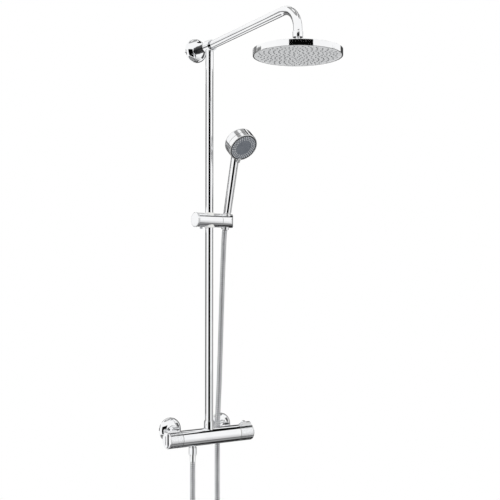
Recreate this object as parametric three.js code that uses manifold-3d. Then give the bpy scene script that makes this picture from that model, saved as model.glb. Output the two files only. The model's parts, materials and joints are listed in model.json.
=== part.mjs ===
// Rainfall shower column: bar valve, riser, swan arm with a round overhead spray, slider, hand spray, hose.
// Millimetres. The wall is the plane y = 0 and the column stands in front of it (y < 0); +Z is up, +X runs
// right along the wall. The origin lies on the wall, midway between the two water inlets, at their height.

import * as THREE from "three";
import { mergeVertices } from "three/addons/utils/BufferGeometryUtils.js";
import Module from "manifold-3d";

const wasm = await Module();
wasm.setup();

// ---- Driving dimensions ----

const INLET_X = 75; // half of the 150 mm between the two inlets
const RISER_OUT = 66; // wall to the riser's axis
const BAR_Z = -14; // the valve's axis hangs below the inlets on eccentric unions
const BAR_R = 20.5;
const BAR_SEAM = 85; // valve body's half length, where the handles begin
const HANDLE_END = 122.5;
const OUTLET_X = -47.7; // hose outlet under the bar
const RISER_R = 10;
const RISER_WALL = 1.4;
const TOP_Z = 964.5; // axis of the tee and of the wall stay
const TEE_R = 14.5;
const ROSE_R = 30.5; // wall cover roses
const ROSE_DEPTH = 15;
const ARM_R = 10;
const ARM_RISE_DEG = 3.54; // the arm climbs a little before its bend
const ARM_REACH = 357.5; // riser axis to the spray's axis
const BEND_R = 52;
const LEG_END_Z = 914;
const BALL_Z = 898;
const BALL_R = 9.5;
const SPRAY_R = 100;
const SPRAY_BOTTOM_Z = 870;
const SPRAY_HEIGHT = 14;
const SLIDER_Z = 524.5;
const SLIDER_R = 17.25;
const HOLDER_SEAM_X = 31;
const HANDSET_X = 51;
const HANDSET_LEAN_DEG = 14.3;
const SPRAY_FACE_TURN_DEG = -64; // from the handle's axis to the drum's axis
const SPRAY_FACE_OUT = 30.9; // handle's axis to the middle of the hand spray's face
const SPRAY_FACE_UP = 191.4; // holder to the middle of the hand spray's face
const DRUM_R = 37.5;
const TAB_TURN_DEG = 8; // the temperature tab points a little towards the user
const HOSE_R = 6.5;
const GAP = 0.3; // between pieces that touch

const SMALL = 12; // sides of a small turned piece
const ROUND = 16; // sides of a turned piece
const WIDE = 20; // sides of a stout turned piece
const FINE = 32; // sides of a broad turned piece
const MERGE = 1e-4;
const TURN = Math.PI / 180;
const QUARTER = Math.PI / 2;

// Middle line of the hose, from the valve's ferrule, down round the loop and up to the hand spray's nut.
const HOSE_ROUTE = [
  [-47.7, -66, -73.3],
  [-47.7, -66, -120],
  [-47.7, -66, -180],
  [-47.8, -66, -240],
  [-49, -66.5, -300],
  [-51.4, -67.4, -360],
  [-52.8, -68, -415],
  [-45.3, -65.1, -449],
  [-25.3, -57.2, -470.5],
  [1.6, -46.5, -478.5],
  [28.6, -35.8, -470.5],
  [48.6, -27.9, -449],
  [56.1, -25, -415],
  [54.7, -25.6, -360],
  [52.3, -26.5, -300],
  [51, -27, -240],
  [51, -26.8, -180],
  [51, -26.5, -110],
  [51, -26.6, -50],
  [50.9, -27, -8],
  [51.1, -29.4, 40],
  [51.4, -33, 90],
  [51.6, -38.8, 196],
  [51.6, -45.6, 324],
  [51.3, -53.2, 440],
  [51, -58.5, 494.9],
  [51, -60.5, 502.9],
];
const HOSE_STEPS = 60;
const HOSE_SIDES = 8;

// ---- Materials ----

function finish(color, roughness, metalness) {
  return new THREE.MeshStandardMaterial({ color, roughness, metalness });
}

const chrome = finish(0xd8dadd, 0.07, 1);
const brass = finish(0xc9a45c, 0.35, 1);
const steel = finish(0xb5b7ba, 0.3, 1);
const rubber = finish(0x1b1b1c, 0.8, 0);
const whitePlastic = finish(0xe6e6e2, 0.45, 0);
const greyPlastic = finish(0xb9bcbf, 0.4, 0);
const darkGreyPlastic = finish(0x6b7176, 0.35, 0);

// ---- Shapes ----

// One closed body: shared corners merged, slivers dropped, faces turned outwards.
function closedBody(source) {
  const bare = source.clone();
  bare.clearGroups();
  bare.deleteAttribute("normal");
  bare.deleteAttribute("uv");
  const body = mergeVertices(bare, MERGE);
  const place = body.getAttribute("position");
  const corners = body.getIndex().array;
  const kept = [];
  const a = new THREE.Vector3();
  const b = new THREE.Vector3();
  const c = new THREE.Vector3();
  let volume = 0;
  for (let i = 0; i < corners.length; i += 3) {
    const [p, q, r] = corners.slice(i, i + 3);
    if (p === q || q === r || r === p) continue;
    a.fromBufferAttribute(place, p);
    b.fromBufferAttribute(place, q);
    c.fromBufferAttribute(place, r);
    volume += a.dot(b.cross(c));
    kept.push(p, q, r);
  }
  if (volume < 0) {
    for (let i = 0; i < kept.length; i += 3) {
      [kept[i + 1], kept[i + 2]] = [kept[i + 2], kept[i + 1]];
    }
  }
  body.setIndex(kept);
  return body;
}

function toSolid(geometry) {
  const body = closedBody(geometry);
  const vertProperties = new Float32Array(body.getAttribute("position").array);
  const triVerts = new Uint32Array(body.getIndex().array);
  return new wasm.Manifold(new wasm.Mesh({ numProp: 3, vertProperties, triVerts }));
}

function toGeometry(solid) {
  const mesh = solid.getMesh();
  const geometry = new THREE.BufferGeometry();
  geometry.setAttribute("position", new THREE.BufferAttribute(mesh.vertProperties, 3));
  geometry.setIndex(new THREE.BufferAttribute(mesh.triVerts, 1));
  return geometry;
}

function joined(...pieces) {
  return toGeometry(pieces.map(toSolid).reduce((whole, piece) => whole.add(piece)));
}

function cut(body, ...tools) {
  return toGeometry(tools.map(toSolid).reduce((rest, tool) => rest.subtract(tool), toSolid(body)));
}

function common(one, other) {
  return toGeometry(toSolid(one).intersect(toSolid(other)));
}

// A closed outline of [radius, height] points turned about Z.
function turned(outline, sides = ROUND) {
  const points = [...outline, outline[0]].map(([r, z]) => new THREE.Vector2(r, z));
  return closedBody(new THREE.LatheGeometry(points, sides).rotateX(QUARTER));
}

function rod(radius, z0, z1, sides = ROUND) {
  return turned([[0, z0], [radius, z0], [radius, z1], [0, z1]], sides);
}

function ring(inner, outer, z0, z1, sides = ROUND) {
  return turned([[inner, z0], [outer, z0], [outer, z1], [inner, z1]], sides);
}

function extruded(shape, z0, z1) {
  const options = { depth: z1 - z0, bevelEnabled: false, curveSegments: SMALL / 2 };
  return closedBody(new THREE.ExtrudeGeometry(shape, options).translate(0, 0, z0));
}

function hexagon(acrossFlats) {
  const corner = acrossFlats / Math.sqrt(3);
  const shape = new THREE.Shape();
  for (let i = 0; i < 6; i += 1) {
    const angle = (i * Math.PI) / 3;
    shape.lineTo(corner * Math.cos(angle), corner * Math.sin(angle));
  }
  return new THREE.Shape(shape.getPoints().slice(1));
}

// Two equal circles and the straight sides between them, along Y from 0 down to -length.
function stadium(radius, length) {
  const shape = new THREE.Shape();
  shape.absarc(0, 0, radius, 0, Math.PI, false);
  shape.absarc(0, -length, radius, Math.PI, 2 * Math.PI, false);
  return shape;
}

function block(x0, x1, y0, y1, z0, z1) {
  const box = new THREE.BoxGeometry(x1 - x0, y1 - y0, z1 - z0);
  return box.translate((x0 + x1) / 2, (y0 + y1) / 2, (z0 + z1) / 2);
}

// The same shape laid along X (its Z runs along +X) or along Y (its Z runs along +Y).
function alongX(geometry) {
  return geometry.rotateY(QUARTER);
}

function alongY(geometry) {
  return geometry.rotateX(-QUARTER);
}

function addPiece(group, name, material, geometry) {
  const mesh = new THREE.Mesh(geometry, material);
  mesh.name = name;
  group.add(mesh);
}

// A group whose Z points out from the wall, its Y up and its X along the wall.
function wallGroup(x, z) {
  const group = new THREE.Group();
  group.position.set(x, 0, z);
  group.rotation.x = QUARTER;
  return group;
}

// ---- Wall side ----

// Domed cover rose, hollow behind, with a flat rim on the wall.
function roseShape(hole) {
  const outline = [
    [hole, 15],
    [hole, 11.5],
    [20, 9],
    [25.5, 4],
    [25.5, 0],
    [ROSE_R, 0],
    [ROSE_R, 2.5],
    [29, 6],
    [26, 9.8],
    [20.5, 13],
    [14.5, 14.8],
  ];
  return turned(outline, WIDE);
}

const UNION_R = 11.8;
const UNION_BORE = 6.5;
const UNION_PLATE = 26; // where the eccentric part begins, out from the wall
const UNION_NUT = 32;
const NIPPLE_FACE = 39;
const UNION_NUT_AF = 26.5;
const DROP = -BAR_Z; // eccentricity of the unions

function unionShape() {
  const tail = joined(rod(10.3, -12, 1), rod(UNION_R, 0.5, UNION_PLATE + 1));
  const plate = extruded(stadium(UNION_R, DROP), UNION_PLATE, UNION_PLATE + 5);
  const outlet = rod(11, UNION_PLATE + 4, UNION_PLATE + 10.5).translate(0, -DROP, 0);
  const inletBore = rod(UNION_BORE, -13, UNION_PLATE + 2.5);
  const passage = extruded(stadium(UNION_BORE - 0.5, DROP), UNION_PLATE + 1.5, UNION_PLATE + 3.5);
  const outletBore = rod(UNION_BORE, UNION_PLATE + 2, UNION_PLATE + 11).translate(0, -DROP, 0);
  return cut(joined(tail, plate, outlet), inletBore, passage, outletBore);
}

function unionNutShape() {
  const hex = extruded(hexagon(UNION_NUT_AF), UNION_NUT, UNION_NUT + 13).rotateZ(30 * TURN);
  const thread = rod(11.4, UNION_NUT - 1, UNION_NUT + 9.2);
  const neck = rod(9, UNION_NUT + 8, UNION_NUT + 14);
  return cut(hex, thread, neck).translate(0, -DROP, 0);
}

function addInlet(root, side, x) {
  const group = wallGroup(x, 0);
  addPiece(group, `${side}_wall_flange`, chrome, roseShape(UNION_R + 0.6));
  addPiece(group, `${side}_wall_union`, chrome, unionShape());
  addPiece(group, `${side}_union_nut`, chrome, unionNutShape());
  const washer = ring(6.2, 10.5, UNION_PLATE + 10.8, NIPPLE_FACE - GAP, SMALL);
  addPiece(group, `${side}_union_washer`, rubber, washer.translate(0, -DROP, 0));
  const checkValve = ring(2.5, 5.5, NIPPLE_FACE + 0.6, NIPPLE_FACE + 10, SMALL);
  addPiece(group, `${side}_check_valve`, whitePlastic, checkValve.translate(0, -DROP, 0));
  root.add(group);
}

// ---- Bar valve ----

const NIPPLE_Y = RISER_OUT - NIPPLE_FACE; // the nipples' faces, behind the bar's axis
const CARTRIDGE_BORE = 15.2;
const BOSS_TOP = 36;

function valveBodyShape() {
  const end = BAR_SEAM - 0.4;
  const barrel = alongX(rod(BAR_R, -end, end, WIDE));
  const solids = [barrel];
  const holes = [alongX(rod(9, -51, 51))];
  for (const side of [-1, 1]) {
    solids.push(alongY(rod(8.6, 16, NIPPLE_Y)).translate(side * INLET_X, 0, 0));
    solids.push(alongY(rod(10.9, NIPPLE_Y - 1.8, NIPPLE_Y)).translate(side * INLET_X, 0, 0));
    holes.push(alongY(rod(6, 10, NIPPLE_Y + 1)).translate(side * INLET_X, 0, 0));
    const low = Math.min(side * 50, side * (end + 1));
    const high = Math.max(side * 50, side * (end + 1));
    holes.push(alongX(rod(CARTRIDGE_BORE, low, high)));
  }
  solids.push(rod(7, 17, BOSS_TOP));
  holes.push(rod(4.8, 5, BOSS_TOP + 1));
  solids.push(rod(8, -22.8, -17).translate(OUTLET_X, 0, 0));
  solids.push(rod(7.2, -34, -22).translate(OUTLET_X, 0, 0));
  holes.push(rod(4.6, -35, -5).translate(OUTLET_X, 0, 0));
  return cut(joined(...solids), ...holes);
}

function cartridgeShape() {
  return cut(alongX(rod(14.9, 51, 83.5)), alongX(rod(4.4, 62, 84)));
}

function spindleShape() {
  return alongX(rod(4, 62.4, 108, SMALL));
}

// Hollow turned handle with an inner hub on the spindle and a recess for its end cap.
function handleShape(end) {
  const outline = [
    [4.4, 94],
    [8, 94],
    [8, 110],
    [17.2, 110],
    [17.2, BAR_SEAM + 0.1],
    [BAR_R, BAR_SEAM + 0.1],
    [BAR_R, end - 3.5],
    [17.4, end - 3.5],
    [17.4, 113.5],
    [4.4, 113.5],
  ];
  return alongX(turned(outline, WIDE));
}

function endCapShape(end) {
  const outline = [
    [0, end - 6.5],
    [17.1, end - 6.5],
    [17.1, end - 3.2],
    [BAR_R, end - 3.2],
    [BAR_R, end - 1],
    [BAR_R - 1, end],
    [0, end],
  ];
  return alongX(turned(outline, WIDE));
}

const STRIP_HALF = 8; // half width of the flow lever
const STRIP_TOP = 22.3;
const STRIP_START = 89.5;
const STRIP_SEAT = 18.6; // height of the flat that a lever sits on

// Strip lever along the top of the handle, folded down over its end, with a slot in the fold.
function stripLeverShape() {
  const low = STRIP_SEAT + GAP;
  const inner = HANDLE_END + GAP;
  const outer = HANDLE_END + 2.5;
  const fold = new THREE.Shape([
    new THREE.Vector2(STRIP_START + GAP, low),
    new THREE.Vector2(inner, low),
    new THREE.Vector2(inner, -18),
    new THREE.Vector2(outer, -18),
    new THREE.Vector2(outer, STRIP_TOP - 1.4),
    new THREE.Vector2(outer - 1.2, STRIP_TOP),
    new THREE.Vector2(STRIP_START + 2, STRIP_TOP),
    new THREE.Vector2(STRIP_START + GAP, STRIP_TOP - 1.2),
  ]);
  const lever = extruded(fold, -STRIP_HALF, STRIP_HALF).rotateX(QUARTER);
  const round = STRIP_HALF - 18; // the fold's lower end is a half circle about this height
  const end = alongX(rod(STRIP_HALF, inner - 1, outer + 1)).translate(0, 0, round);
  const straight = block(STRIP_START, outer + 1, -STRIP_HALF, STRIP_HALF, round, STRIP_TOP + 1);
  const reach = joined(end, straight);
  return cut(common(lever, reach), block(inner - 1, outer + 1, -1.5, 1.5, -10, 11));
}

function addFlowEnd(valve) {
  const group = new THREE.Group();
  group.rotation.z = Math.PI;
  const seat = block(STRIP_START, HANDLE_END + 1, -BAR_R, BAR_R, STRIP_SEAT, BAR_R + 1);
  addPiece(group, "flow_cartridge", brass, cartridgeShape());
  addPiece(group, "flow_spindle", brass, spindleShape());
  addPiece(group, "flow_handle", chrome, cut(handleShape(HANDLE_END), seat));
  addPiece(group, "flow_handle_end_cap", chrome, cut(endCapShape(HANDLE_END), seat));
  addPiece(group, "flow_handle_lever", chrome, stripLeverShape());
  valve.add(group);
}

const TEMP_END = 126;
const TAB_START = 96;
const TAB_HALF = 4;
const TAB_TOP = 29.5;
const BUTTON_X = 92;
const BUTTON_LOW = 15.2;

// Short raised tab: seen from the side it has a hump, then a lower step with a rounded end.
function tabShape() {
  const low = STRIP_SEAT + GAP;
  const step = TAB_TOP - 3.3;
  const end = TEMP_END - 2;
  const side = new THREE.Shape();
  side.moveTo(TAB_START + GAP, low);
  side.lineTo(end, low);
  side.lineTo(end, step - 3);
  side.absarc(end - 3, step - 3, 3, 0, QUARTER, false);
  side.lineTo(TAB_START + 12.5, step);
  side.lineTo(TAB_START + 11, TAB_TOP);
  side.lineTo(TAB_START + 2.5, TAB_TOP);
  side.lineTo(TAB_START + GAP, TAB_TOP - 2.5);
  return extruded(side, -TAB_HALF, TAB_HALF).rotateX(QUARTER);
}

function springShape(radius, wire, z0, z1, turns) {
  class Helix extends THREE.Curve {
    getPoint(t, target = new THREE.Vector3()) {
      const angle = 2 * Math.PI * turns * t;
      return target.set(radius * Math.cos(angle), radius * Math.sin(angle), z0 + (z1 - z0) * t);
    }
  }
  return sweptCircle(new Helix(), wire, turns * 6, 6);
}

function sweptCircle(path, radius, steps, sides) {
  const section = new THREE.Shape();
  section.absarc(0, 0, radius, 0, 2 * Math.PI, false);
  const options = { steps, curveSegments: sides / 2, extrudePath: path };
  return closedBody(new THREE.ExtrudeGeometry(section, options));
}

function addTemperatureEnd(valve) {
  addPiece(valve, "thermostat_cartridge", brass, cartridgeShape());
  addPiece(valve, "temperature_spindle", brass, spindleShape());
  const group = new THREE.Group();
  group.rotation.x = TAB_TURN_DEG * TURN;
  const seat = block(TAB_START, TEMP_END + 1, -TAB_HALF - GAP, TAB_HALF + GAP, STRIP_SEAT, BAR_R + 1);
  const window = block(BUTTON_X - 3.6, BUTTON_X + 3.6, -3.4, 3.4, 14, BAR_R + 1);
  addPiece(group, "temperature_handle", chrome, cut(handleShape(TEMP_END), seat, window));
  addPiece(group, "temperature_end_cap", chrome, cut(endCapShape(TEMP_END), seat));
  addPiece(group, "temperature_handle_lever", chrome, tabShape());
  const button = block(BUTTON_X - 3.2, BUTTON_X + 3.2, -3, 3, BUTTON_LOW, BAR_R + 2.6);
  addPiece(group, "temperature_stop_button", chrome, closedBody(button));
  const spring = springShape(2, 0.35, 8.9, BUTTON_LOW - 0.7, 3);
  addPiece(group, "temperature_stop_spring", steel, spring.translate(BUTTON_X, 0, 0));
  valve.add(group);
}

function collarShape() {
  const sleeve = turned([[RISER_R + 0.4, 8], [12.9, 8], [12.4, 38.3], [RISER_R + 0.4, 38.3]]);
  return cut(sleeve, alongX(rod(BAR_R + GAP, -20, 20, WIDE)));
}

const HOSE_NUT_TOP = -23.1;

function hoseNutShape() {
  const hex = extruded(hexagon(19), HOSE_NUT_TOP - 17.4, HOSE_NUT_TOP);
  const thread = rod(7.8, HOSE_NUT_TOP - 15.5, HOSE_NUT_TOP + 1);
  const neck = rod(6.5, HOSE_NUT_TOP - 18, HOSE_NUT_TOP - 14);
  return cut(hex, thread, neck);
}

function ferruleShape() {
  const outline = [
    [4, -59],
    [6.9, -59],
    [7.3, -43],
    [6.9, -40.8],
    [6.1, -40.8],
    [6.1, -38.3],
    [7.4, -38.3],
    [7.4, -36.5],
    [4, -36.5],
  ];
  return turned(outline);
}

function addValve(root) {
  const valve = new THREE.Group();
  valve.position.set(0, -RISER_OUT, BAR_Z);
  addPiece(valve, "valve_body", chrome, valveBodyShape());
  addFlowEnd(valve);
  addTemperatureEnd(valve);
  addPiece(valve, "riser_collar", chrome, collarShape());
  addPiece(valve, "riser_o_ring", rubber, ring(7.3, 8.3, 28, 30.5));
  addPiece(valve, "hose_valve_nut", chrome, hoseNutShape().translate(OUTLET_X, 0, 0));
  const washer = ring(4.6, 7.2, -36.2, -34.3, SMALL).translate(OUTLET_X, 0, 0);
  addPiece(valve, "hose_valve_washer", rubber, washer);
  addPiece(valve, "hose_valve_ferrule", chrome, ferruleShape().translate(OUTLET_X, 0, 0));
  root.add(valve);
}

// ---- Riser, tee, wall stay and arm ----

function riserShape() {
  return ring(RISER_R - RISER_WALL, RISER_R, BAR_Z + 23.5, TOP_Z - 10.8);
}

// Short drum across the riser's top, open in front for the arm.
function teeShape() {
  const riserHole = alongY(rod(RISER_R + GAP, -16, -1));
  const stayHole = rod(5.9, -13, -3);
  const armHole = rod(11.2, -4, 10);
  const mouth = rod(12.4, 9.5, 13);
  return cut(rod(TEE_R, -12, 12.5, WIDE), riserHole, stayHole, armHole, mouth);
}

const STAY_START = 3.7;
const STAY_END = RISER_OUT - 12 - GAP;

// Ribbed spigot between the wall plate and the tee, a little stouter at the tee.
function stayShape() {
  const outline = [
    [0, STAY_START],
    [9.2, STAY_START],
    [9.2, 16],
  ];
  const ribs = 5;
  const pitch = (STAY_END - 4 - 16) / ribs;
  for (let i = 0; i < ribs; i += 1) {
    const start = 16 + i * pitch;
    const radius = 9.4 + (1.6 * i) / (ribs - 1);
    outline.push([radius, start + 0.5], [radius, start + pitch - 1.6]);
    outline.push([radius - 0.7, start + pitch - 1.2], [radius - 0.7, start + pitch]);
  }
  outline.push([11, STAY_END - 3.5], [11, STAY_END], [0, STAY_END]);
  return joined(turned(outline), rod(5.5, STAY_END - 1, STAY_END + 7));
}

function wallPlateShape() {
  const holes = [-15, 15].map((x) => rod(2.4, -1, 5, SMALL).translate(x, 0, 0));
  return cut(rod(21, 0.3, 3.3), ...holes);
}

function wallScrewShape() {
  return turned([[0, -28], [2, -25], [2, 3.6], [4.2, 3.6], [4.2, 5.4], [2.4, 6.2], [0, 6.2]], SMALL);
}

// A path that gives exactly the rings it was made with.
class RingPath extends THREE.Curve {
  constructor(rings) {
    super();
    this.rings = rings;
  }

  getSpacedPoints() {
    return this.rings.map((place) => place.point);
  }

  getTangentAt(t) {
    return this.rings[Math.round(t * (this.rings.length - 1))].tangent.clone();
  }
}

// Arm's middle line: straight and slightly rising, round the bend, straight down. Y is up and Z out.
function armPath() {
  const rise = ARM_RISE_DEG * TURN;
  const straight = ARM_REACH - BEND_R * (1 + Math.sin(rise));
  const height = (out) => out * Math.tan(rise) - 0.5;
  const along = new THREE.Vector3(0, Math.sin(rise), Math.cos(rise));
  const rings = [];
  for (const out of [1, straight * 0.5]) {
    rings.push({ point: new THREE.Vector3(0, height(out), out), tangent: along });
  }
  const centreUp = height(straight) - BEND_R * Math.cos(rise);
  const centreOut = straight + BEND_R * Math.sin(rise);
  const centre = new THREE.Vector3(0, centreUp, centreOut);
  const steps = 9;
  for (let i = 0; i <= steps; i += 1) {
    const angle = QUARTER + rise - ((QUARTER + rise) * i) / steps;
    const point = new THREE.Vector3(0, Math.sin(angle), Math.cos(angle)).multiplyScalar(BEND_R).add(centre);
    rings.push({ point, tangent: new THREE.Vector3(0, -Math.cos(angle), Math.sin(angle)) });
  }
  const legEnd = new THREE.Vector3(0, LEG_END_Z - TOP_Z, ARM_REACH);
  rings.push({ point: legEnd, tangent: new THREE.Vector3(0, -1, 0) });
  return new RingPath(rings);
}

function armShape() {
  const section = new THREE.Shape();
  section.absarc(0, 0, ARM_R, 0, 2 * Math.PI, false);
  const bore = new THREE.Path();
  bore.absarc(0, 0, ARM_R - RISER_WALL, 0, 2 * Math.PI, true);
  section.holes.push(bore);
  const path = armPath();
  const options = { steps: path.rings.length - 1, curveSegments: SMALL / 2, extrudePath: path };
  return closedBody(new THREE.ExtrudeGeometry(section, options));
}

function addTop(root) {
  addPiece(root, "riser_tube", chrome, riserShape().translate(0, -RISER_OUT, 0));
  const wall = wallGroup(0, TOP_Z);
  addPiece(wall, "top_wall_flange", chrome, roseShape(9.8));
  addPiece(wall, "wall_stay", chrome, stayShape());
  addPiece(wall, "wall_plate", steel, wallPlateShape());
  addPiece(wall, "wall_screw_left", steel, wallScrewShape().translate(-15, 0, 0));
  addPiece(wall, "wall_screw_right", steel, wallScrewShape().translate(15, 0, 0));
  const tee = new THREE.Group();
  tee.position.z = RISER_OUT;
  addPiece(tee, "riser_tee", chrome, teeShape());
  addPiece(tee, "shower_arm", chrome, armShape());
  wall.add(tee);
  root.add(wall);
}

// ---- Overhead spray ----

function ballShape() {
  const outline = [];
  for (let deg = -90; deg <= 55; deg += 14.5) {
    outline.push([BALL_R * Math.cos(deg * TURN), BALL_R * Math.sin(deg * TURN)]);
  }
  outline[0][0] = 0;
  outline.push([5.2, 9], [5.2, 24], [0, 24]);
  return turned(outline);
}

function ballNutShape() {
  const low = LEG_END_Z - 2 - BALL_Z;
  const armHole = rod(ARM_R + 0.4, low + 1.7, low + 14);
  return cut(rod(11.5, low, low + 13), armHole, rod(5.6, low - 1, low + 2));
}

function sprayShellShape() {
  const bottom = SPRAY_BOTTOM_Z - BALL_Z;
  const top = bottom + SPRAY_HEIGHT;
  const outline = [
    [SPRAY_R, bottom],
    [SPRAY_R, top - 1.5],
    [SPRAY_R - 1.5, top],
    [30, top + 0.8],
    [18, top + 1.1],
    [6, top + 1.1],
    [6, top - 1],
    [30, top - 1.4],
    [96, top - 2.2],
    [97.6, top - 3.5],
    [97.6, bottom],
  ];
  return turned(outline, FINE);
}

function addSpray(root) {
  const group = new THREE.Group();
  group.position.set(0, -RISER_OUT - ARM_REACH, BALL_Z);
  const bottom = SPRAY_BOTTOM_Z - BALL_Z;
  addPiece(group, "arm_ball_nut", chrome, ballNutShape());
  addPiece(group, "swivel_ball", chrome, ballShape());
  addPiece(group, "ball_seal", rubber, ring(4, 8.5, -12.3, -10.2, SMALL));
  const socket = [[9.9, -12.4], [16, -12.4], [16, 3], [14, 6], [8.4, 6], [9.9, 2.5]];
  addPiece(group, "rain_head_socket", chrome, turned(socket));
  addPiece(group, "rain_head_shell", chrome, sprayShellShape());
  addPiece(group, "rain_head_face", greyPlastic, rod(97.2, bottom + 0.5, bottom + 3, FINE));
  addPiece(group, "rain_head_mat", rubber, rod(95, bottom + 3.4, bottom + 5.4, FINE));
  root.add(group);
}

// ---- Slider ----

const KNOB_FACE = -43;
const KNOB_BACK = -38.8;
const BUSH_BORE = RISER_R + GAP;

// Outer radius of the hose's cone nut and, with a gap, of the holder's tapered hole, at height s.
function coneRadius(s) {
  return 10.05 + 0.0325 * s;
}

function sliderBodyShape() {
  const bar = alongX(rod(SLIDER_R, KNOB_BACK + 0.5, HOLDER_SEAM_X - 0.4, WIDE));
  const riserHole = rod(13.3, -20, 20);
  const screwHole = alongX(rod(3.4, -40, -10, SMALL));
  const boltHole = alongX(rod(3.4, 10, 32, SMALL));
  const boltHead = alongX(rod(5.4, 10, 17, SMALL));
  const recess = alongX(rod(10, 28.8, 32));
  const lockHole = rod(2.7, -20, -11.8, SMALL).translate(-24, 0, 0);
  return cut(bar, riserHole, screwHole, boltHole, boltHead, recess, lockHole);
}

// Short barrel with a rounded end and a tapered, leaning hole for the hose's cone nut.
function holderShape() {
  const barrel = alongX(rod(SLIDER_R, HOLDER_SEAM_X + 0.2, 75, WIDE));
  const reach = rod(SLIDER_R + 0.2, -20, 20, FINE).translate(HANDSET_X, 0, 0);
  const plan = joined(block(20, HANDSET_X, -20, 20, -20, 20), reach);
  const wide = coneRadius(26) + 0.35;
  const narrow = coneRadius(-26) + 0.35;
  const taper = turned([[0, -26], [narrow, -26], [wide, 26], [0, 26]]);
  const hole = taper.rotateX(HANDSET_LEAN_DEG * TURN).translate(HANDSET_X, 0, 0);
  const boltHole = alongX(rod(3.4, 30, 39, SMALL));
  return cut(common(barrel, plan), hole, boltHole);
}

function knobShape() {
  const outline = [
    [0, KNOB_FACE],
    [17.6, KNOB_FACE],
    [18.6, KNOB_FACE + 1],
    [18.6, KNOB_BACK - 1],
    [17.4, KNOB_BACK],
    [0, KNOB_BACK],
  ];
  return cut(alongX(turned(outline, WIDE)), alongX(rod(3.4, -41, -38)));
}

function lockScrewShape() {
  return joined(rod(3.4, -22, -17.6, SMALL), rod(2.4, -18, -12, SMALL));
}

function pivotBoltShape() {
  return alongX(joined(rod(5, 14, 16.7, SMALL), rod(3, 16, 38, SMALL)));
}

function addSlider(root) {
  const slider = new THREE.Group();
  slider.position.set(0, -RISER_OUT, SLIDER_Z);
  addPiece(slider, "slider_bush_upper", whitePlastic, ring(BUSH_BORE, 13, 4.5, 18.8));
  addPiece(slider, "slider_bush_lower", whitePlastic, ring(BUSH_BORE, 13, -18.8, -4.5));
  addPiece(slider, "slider_body", chrome, sliderBodyShape());
  addPiece(slider, "slider_clamp_knob", chrome, knobShape());
  addPiece(slider, "slider_clamp_screw", brass, alongX(rod(3, -40.7, -14, SMALL)));
  addPiece(slider, "slider_clamp_shoe", whitePlastic, alongX(rod(3, -13.7, -10.4, SMALL)));
  addPiece(slider, "slider_lock_screw", steel, lockScrewShape().translate(-24, 0, 0));
  addPiece(slider, "handset_holder", chrome, holderShape());
  addPiece(slider, "holder_pivot_bolt", steel, pivotBoltShape());
  const washer = alongX(ring(3.6, 9.4, 29.1, HOLDER_SEAM_X - 0.1, SMALL));
  addPiece(slider, "holder_washer", rubber, washer);
  addHandset(slider);
  root.add(slider);
}

// ---- Hand spray ----

function coneNutShape() {
  const outline = [
    [6.9, -22],
    [coneRadius(-22), -22],
    [coneRadius(17), 17],
    [9.5, 17.8],
    [9.5, 20.2],
    [8.6, 20.2],
    [8.6, 4],
    [6.9, 4],
  ];
  return turned(outline);
}

// Handle and rear half of the drum in one hollow casing.
function handsetBodyShape() {
  const taper = turned([[0, 20.5], [9.3, 20.5], [9.75, 24], [10.15, 150], [10.15, 178], [0, 178]]);
  const rear = [[0, 37], [26, 36.4], [33.5, 34], [36.6, 31], [DRUM_R, 27.5], [DRUM_R, 12], [0, 12]];
  const inside = [[0, 34.6], [25, 34], [31.8, 32], [34.4, 29.6], [35.2, 27], [35.2, 11], [0, 11]];
  const front = rod(DRUM_R + 0.7, -14, 13.8, FINE);
  const solid = joined(rod(8.2, 6.3, 21), taper, intoDrum(turned(rear, FINE)));
  return cut(solid, rod(7, 5, 182), intoDrum(turned(inside, FINE)), intoDrum(front));
}

// Places a shape of the drum's own frame (Z from the face to the back, Y down the face) in the handset's.
function intoDrum(geometry) {
  return geometry.rotateX(SPRAY_FACE_TURN_DEG * TURN).translate(0, -SPRAY_FACE_OUT, SPRAY_FACE_UP);
}

function selectorShape() {
  const band = turned([[34.5, 0], [36.8, 0], [DRUM_R, 1], [DRUM_R, 13.4], [34.5, 13.4]], FINE);
  const tab = block(-4, 4, 30.5, 42.3, -5, -1.2);
  const root = block(-4, 4, 34.9, 36.8, -2, 3);
  return joined(band, tab, root);
}

function addHandset(slider) {
  const handset = new THREE.Group();
  handset.position.x = HANDSET_X;
  handset.rotation.x = HANDSET_LEAN_DEG * TURN;
  addPiece(handset, "hose_top_nut", chrome, coneNutShape());
  addPiece(handset, "hose_top_washer", rubber, ring(6.9, 8, 4.3, 5.9, SMALL));
  addPiece(handset, "handset_body", chrome, handsetBodyShape());
  addPiece(handset, "handset_selector_ring", chrome, intoDrum(selectorShape()));
  addPiece(handset, "handset_spray_face", darkGreyPlastic, intoDrum(rod(34.1, 0.6, 4, FINE)));
  addPiece(handset, "handset_water_plate", whitePlastic, intoDrum(rod(32.6, 4.5, 7, FINE)));
  slider.add(handset);
}

// ---- Hose ----

function hoseShape() {
  const points = HOSE_ROUTE.map(([x, y, z]) => new THREE.Vector3(x, y, z));
  const line = new THREE.CatmullRomCurve3(points, false, "centripetal");
  return sweptCircle(line, HOSE_R, HOSE_STEPS, HOSE_SIDES);
}

// ---- The whole column ----

const column = new THREE.Group();
addInlet(column, "left", -INLET_X);
addInlet(column, "right", INLET_X);
addValve(column);
addTop(column);
addSpray(column);
addSlider(column);
addPiece(column, "hose", chrome, hoseShape());

export default column;
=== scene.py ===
"""Rainfall shower column: finished surfaces, hose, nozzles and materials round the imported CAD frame.

The row frame: the wall is the plane y = 0, the column stands at y < 0, +Z up, +X right along the wall.
Shapes are worked out in millimetres and scaled to metres when a piece is finished.
"""

import json
import math

import bmesh
import bpy
import numpy as np
from mathutils import Matrix, Vector


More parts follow.
